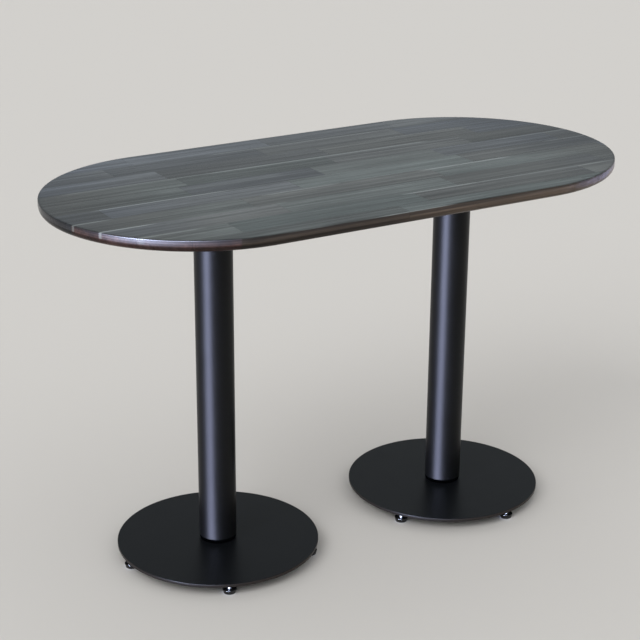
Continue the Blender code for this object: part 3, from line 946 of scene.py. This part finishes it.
# Painted light and shade by height on the edge: darker low on the left, lighter low on the right.
edge_light_and_shade = mix(
    wood_tree,
    brown_end,
    ramp(wood_tree, rise, *((tone, tone, tone, 1) for tone in LEFT_EDGE_SHADING)),
    ramp(wood_tree, rise, *((tone, tone, tone, 1) for tone in RIGHT_EDGE_SHADING)),
)
edge_lined = noise(wood_tree, wood_place, EDGE_LINES, detail=2.0)
edge_tone = toned_by(wood_tree, (edge_lined, *EDGE_SPREAD, *EDGE_TONES))
edge_colour = mix(wood_tree, 1.0, edge_colour, edge_light_and_shade, "MULTIPLY")
edge_colour = mix(wood_tree, 1.0, edge_colour, edge_tone, "MULTIPLY")
stain_and_painted_light = mix(wood_tree, on_face, edge_colour, face_stain_and_sheen)

# The wood under the stain: each stave, streak and wipe of the cloth has its own tone, and the glue joints
# and the pores show through.  The pale runs and a pale line on the arris of the straight sides are painted
# highlights laid into the colour.
WIPING = (1.1, 62.0, 0.0)
MOTTLING = (4.0, 11.0, 0.0)
NOISE_SPREAD = (0.32, 0.68)
STAVE_TONES = (0.68, 1.29)
ACROSS_SHARE = 0.6
ACROSS_TONES = (0.88, 1.03)
FIGURE_SPREAD = (0.3, 0.7)
FIGURE_TONES = (0.92, 1.08)
STREAK_TONES = (0.68, 1.32)
WIPED_TONES = (0.84, 1.16)
MOTTLED_TONES = (0.86, 1.14)
FIBRE_TONES = (0.80, 1.20)
PALE_HIGHLIGHT = (0.34, 0.38, 0.385, 1)
ARRIS_HIGHLIGHT_SPREAD = (0.47, 0.6)
ARRIS_HIGHLIGHT = 0.55
GLUE_LINE = (0.012, 0.011, 0.010, 1)
GLUE_SHARE = 0.6
PORE_SPREAD = (0.62, 0.74)
PORE_SHARE = 0.5
SHEEN_LOW = 0.0108
SHEEN_HIGH = 0.0130

wiped = noise(wood_tree, wood_place, WIPING, detail=3.0)
mottled = noise(wood_tree, wood_place, MOTTLING, detail=2.0)
shade = toned_by(
    wood_tree,
    (laid.outputs["Tone"], 0.0, 1.0, *STAVE_TONES),
    (laid.outputs["Across"], 0.0, ACROSS_SHARE, *ACROSS_TONES),
    (grain.outputs["Figure"], *FIGURE_SPREAD, *FIGURE_TONES),
    (grain.outputs["Streaks"], *NOISE_SPREAD, *STREAK_TONES),
    (wiped, *NOISE_SPREAD, *WIPED_TONES),
    (mottled, *NOISE_SPREAD, *MOTTLED_TONES),
    (grain.outputs["Fibres"], *NOISE_SPREAD, *FIBRE_TONES),
)
toned = mix(wood_tree, 1.0, stain_and_painted_light, shade, "MULTIPLY")
upper_edge = ranged(wood_tree, wood_z, board_low.z + SHEEN_LOW, board_low.z + SHEEN_HIGH)
# A pale line along the arris of the straight sides is a painted highlight.
painted_arris_highlight = ranged(wood_tree, mottled, *ARRIS_HIGHLIGHT_SPREAD, high=ARRIS_HIGHLIGHT)
off_arris = away_from(wood_tree, wood_z, board_high.z - TOP_ARRIS / 2)
on_arris = ranged(wood_tree, off_arris, TOP_ARRIS / 2, TOP_ARRIS / 4)
off_end = ranged(wood_tree, end_reach, straight, straight / 2)
# Painted highlights: the pale runs along seams, and a pale line on the arris of the straight sides.
painted_highlights = reckon(
    wood_tree,
    "MAXIMUM",
    reckon(wood_tree, "MULTIPLY", laid.outputs["Pale run"], upper_edge),
    reckon(wood_tree, "MULTIPLY", reckon(wood_tree, "MULTIPLY", painted_arris_highlight, on_arris), off_end),
)
paled = mix(wood_tree, painted_highlights, toned, PALE_HIGHLIGHT)
glued = reckon(wood_tree, "MULTIPLY", laid.outputs["Joint"], GLUE_SHARE)
jointed = mix(wood_tree, glued, paled, GLUE_LINE)
pores = ranged(wood_tree, grain.outputs["Pores"], *PORE_SPREAD)
wood_colour = mix(wood_tree, reckon(wood_tree, "MULTIPLY", pores, PORE_SHARE), jointed, GLUE_LINE)

# The lacquer: satin all over, and a thicker glossy bead on the upper part of the edge, which is fullest
# on the staves in front of one seam at the left end.
LACQUER_GLOSS = (0.22, 0.32)
LACQUER_STRENGTH = 0.05
LACQUER_DEPTH = 0.0003
EDGE_SHEEN = 0.46
SHEEN_SPREAD = (0.35, 0.65)
SHINY_SEAM = 6
DULL_SHARE = 0.38

sunk = reckon(wood_tree, "SUBTRACT", grain.outputs["Fibres"], pores)
wood_height = reckon(wood_tree, "SUBTRACT", sunk, laid.outputs["Joint"])
off_face = reckon(wood_tree, "SUBTRACT", 1.0, on_face)
streaked = ranged(wood_tree, edge_lined, *SHEEN_SPREAD, EDGE_SHEEN / 2, EDGE_SHEEN)
shiny_staves = reckon(wood_tree, "MINIMUM", red_end, before_seam(wood_tree, wood_y, SHINY_SEAM))
edge_coat = reckon(wood_tree, "MULTIPLY", off_face, upper_edge)
edge_coat = reckon(wood_tree, "MULTIPLY", edge_coat, streaked)
edge_coat = reckon(wood_tree, "MULTIPLY", edge_coat, ranged(wood_tree, shiny_staves, low=DULL_SHARE))
feed(
    wood_tree,
    wood_shader,
    Base_Color=wood_colour,
    Roughness=ranged(wood_tree, grain.outputs["Figure"], *FIGURE_SPREAD, *LACQUER_GLOSS),
    Normal=relief(wood_tree, wood_height, LACQUER_STRENGTH, LACQUER_DEPTH),
    Coat_Weight=edge_coat,
)
set_piece("tabletop_board", board_mesh, (0, 0, 0), stained_wood, "table", "tabletop")

# Wood screws: zinc-plated pan heads with a cross recess, driven up through the ends of the spider's
# arms into the underside of the top, four to a spider.
SCREWS_PER_SPIDER = 4
SCREW_DIAMETER = 0.005
SCREW_CORE = 0.0034
SCREW_PITCH = 0.002
SCREW_HEAD_DIAMETER = 0.010
SCREW_HEAD_HEIGHT = 0.0032
SCREW_RIM_HEIGHT = SCREW_HEAD_HEIGHT / 3
SCREW_NECK = 0.0062
SCREW_POINT = 0.004
SCREW_STEPS = 32
SCREW_SHARP = 50
DOME_STEPS = 8
RECESS_WIDTH = 0.0012
RECESS_REACH = 0.0024
RECESS_DEPTH = 0.0022
RECESS_TAPER = 0.45

screw_low, screw_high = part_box("left_wood_screw_1")
seat = screw_low.z + SCREW_HEAD_HEIGHT
head = SCREW_HEAD_DIAMETER / 2
core = SCREW_CORE / 2
thread_low = seat + SCREW_NECK
thread_high = screw_high.z - SCREW_POINT
dome_height = SCREW_HEAD_HEIGHT - SCREW_RIM_HEIGHT
dome = [
    (head * math.cos(angle), seat - SCREW_RIM_HEIGHT - dome_height * math.sin(angle))
    for angle in (math.pi / 2 * step / DOME_STEPS for step in range(DOME_STEPS - 1, -1, -1))
]
screw = bmesh.new()
turned_wall(
    screw, [(0, screw_low.z), *dome, (head, seat), (core, seat), (core, thread_low)], SCREW_STEPS
)
thread_wall(screw, core, SCREW_DIAMETER / 2, SCREW_PITCH, thread_low, thread_high, SCREW_STEPS)
turned_wall(screw, [(core, thread_high), (0, screw_high.z)], SCREW_STEPS)
screw_blank = finished_mesh("wood_screw_blank", screw, SCREW_SHARP)


def recess_wing(turn):
    """One bar of the cross recess, tapering to its bottom."""
    wing = bmesh.new()
    made = bmesh.ops.create_cube(wing, size=1.0)
    for vert in made["verts"]:
        taper = RECESS_TAPER if vert.co.z > 0 else 1.0
        vert.co.x *= 2 * RECESS_REACH * taper
        vert.co.y *= RECESS_WIDTH
        vert.co.z = screw_low.z + (RECESS_DEPTH if vert.co.z > 0 else -RECESS_DEPTH)
    bmesh.ops.rotate(wing, verts=wing.verts, matrix=Matrix.Rotation(turn, 3, "Z"))
    return finished_mesh("recess_wing", wing)


screw_mesh = carved(
    "wood_screw_pan_head",
    screw_blank,
    [("DIFFERENCE", recess_wing(0.0)), ("DIFFERENCE", recess_wing(math.pi / 2))],
    SCREW_SHARP,
)
for side in SIDES:
    for number in range(1, SCREWS_PER_SPIDER + 1):
        axis = middle(f"{side}_wood_screw_{number}")
        set_piece(
            f"{side}_pan_head_screw_{number}",
            screw_mesh,
            (axis.x, axis.y, 0),
            bright_zinc,
            "table",
            f"{side}_wood_screw_{number}",
        )

# Floor: one plain pale surface under the table, wide enough to reach the horizon.  It is matt, so that
# it takes the table's shadow and no reflection.
FLOOR_RADIUS = 60.0
FLOOR_STEPS = 96
FLOOR_COLOUR = (0.66, 0.645, 0.62, 1)

pale_floor = new_material("pale_floor", Base_Color=FLOOR_COLOUR, Roughness=0.9, Specular_IOR_Level=0.0)[0]
ground = bmesh.new()
bmesh.ops.create_circle(ground, cap_ends=True, segments=FLOOR_STEPS, radius=FLOOR_RADIUS)
floor_mesh = bpy.data.meshes.new("floor")
ground.to_mesh(floor_mesh)
ground.free()
floor = bpy.data.objects.new("floor", floor_mesh)
floor.data.materials.append(pale_floor)
bpy.context.scene.collection.objects.link(floor)

# Light: an even pale room all round and one broad soft lamp from the left end of the table.  Two lamps low
# in front of that end show only as a sheen.  Two more shine from below, as light comes back off a floor:
# one shows only on the columns, the other as a faint glow on the edge of the top's right end.
ROOM_LEVEL = 0.78
ROOM_PALE = (0.42, 0.455, 0.475, 1)
BACKDROP = (0.64, 0.63, 0.61, 1)
LAMP_WHITE = (1, 1, 1)
WINDOW_COLOUR = (0.62, 0.70, 1.0)
MIRRORED_COLOUR = (0.56, 0.60, 0.90)
GLOW_COLOUR = (0.52, 0.55, 1.0)

world = bpy.data.worlds.new("pale_room")
bpy.context.scene.world = world
world.use_nodes = True
room = world.node_tree
ray = node(room, "ShaderNodeLightPath")
seen = reckon(room, "MAXIMUM", ray.outputs["Is Camera Ray"], ray.outputs["Is Glossy Ray"])
tint = mix(room, ray.outputs["Is Camera Ray"], ROOM_PALE, BACKDROP)
room.nodes["Background"].inputs["Color"].default_value = (1, 1, 1, 1)
room.nodes["Background"].inputs["Strength"].default_value = ROOM_LEVEL
shown = node(room, "ShaderNodeBackground", {"Color": tint, "Strength": 1.0})
choice = node(
    room,
    "ShaderNodeMixShader",
    {0: seen, 1: room.nodes["Background"].outputs[0], 2: shown.outputs[0]},
)
room.links.new(choice.outputs[0], room.nodes["World Output"].inputs["Surface"])


def distant_lamp(name, strength, colour, width, azimuth, height):
    """A lamp far away, by its width, its angle from the front of the table and its height, in degrees."""
    data = bpy.data.lights.new(name, "SUN")
    data.energy = strength
    data.color = colour
    data.angle = math.radians(width)
    made = bpy.data.objects.new(name, data)
    bpy.context.scene.collection.objects.link(made)
    turn, rise = math.radians(azimuth), math.radians(height)
    towards = Vector((math.sin(turn) * math.cos(rise), -math.cos(turn) * math.cos(rise), math.sin(rise)))
    made.rotation_mode = "QUATERNION"
    made.rotation_quaternion = towards.to_track_quat("Z", "Y")
    return made


distant_lamp("soft_lamp", strength=1.0, colour=LAMP_WHITE, width=40, azimuth=-68, height=38)
sheens = [
    distant_lamp("low_window", strength=44.0, colour=WINDOW_COLOUR, width=20, azimuth=-69, height=4),
    distant_lamp("front_window", strength=12.57, colour=WINDOW_COLOUR, width=20, azimuth=-38, height=20),
    distant_lamp(
        "mirrored_window", strength=18.33, colour=MIRRORED_COLOUR, width=24, azimuth=-69, height=-30
    ),
    distant_lamp("mirrored_glow", strength=2.2, colour=GLOW_COLOUR, width=20, azimuth=86, height=-14),
]
lit_from_below = {
    "mirrored_window": [f"{side}_column_tube" for side in SIDES],
    "mirrored_glow": ["tabletop_board"],
}
overhead = bpy.data.collections.new("mirrored_shadows")
overhead.objects.link(bpy.data.objects["tabletop_board"])
for sheen in sheens:
    sheen.visible_diffuse = False
    if sheen.name in lit_from_below:
        lit = bpy.data.collections.new(sheen.name + "_lights")
        for piece in lit_from_below[sheen.name]:
            lit.objects.link(bpy.data.objects[piece])
        sheen.light_linking.receiver_collection = lit
        sheen.light_linking.blocker_collection = overhead
bpy.context.scene.view_settings.view_transform = "Standard"

# Camera: where the photograph was taken from, in front of the left end and above the top.  Its place is in
# metres and its angles in radians; the lens centre is in pixels of the photograph's frame.
CAMERA_PLACE = (-1.6373, -2.6439, 1.5873)
CAMERA_TURN = 0.51520
CAMERA_DIP = 0.37029
CAMERA_ROLL = -0.00280
PICTURE_WIDTH = 640
FOCAL_PIXELS = 1648.66
LENS_CENTRE = (275.5, 346.6)
SENSOR_WIDTH = 36.0

camera_data = bpy.data.cameras.new("camera")
camera_data.sensor_width = SENSOR_WIDTH
camera_data.lens = FOCAL_PIXELS * SENSOR_WIDTH / PICTURE_WIDTH
camera_data.shift_x = 0.5 - LENS_CENTRE[0] / PICTURE_WIDTH
camera_data.shift_y = LENS_CENTRE[1] / PICTURE_WIDTH - 0.5
camera = bpy.data.objects.new("camera", camera_data)
bpy.context.scene.collection.objects.link(camera)
camera.matrix_world = (
    Matrix.Translation(CAMERA_PLACE)
    @ Matrix.Rotation(-CAMERA_TURN, 4, "Z")
    @ Matrix.Rotation(math.pi / 2 - CAMERA_DIP, 4, "X")
    @ Matrix.Rotation(CAMERA_ROLL, 4, "Z")
)
bpy.context.scene.camera = camera
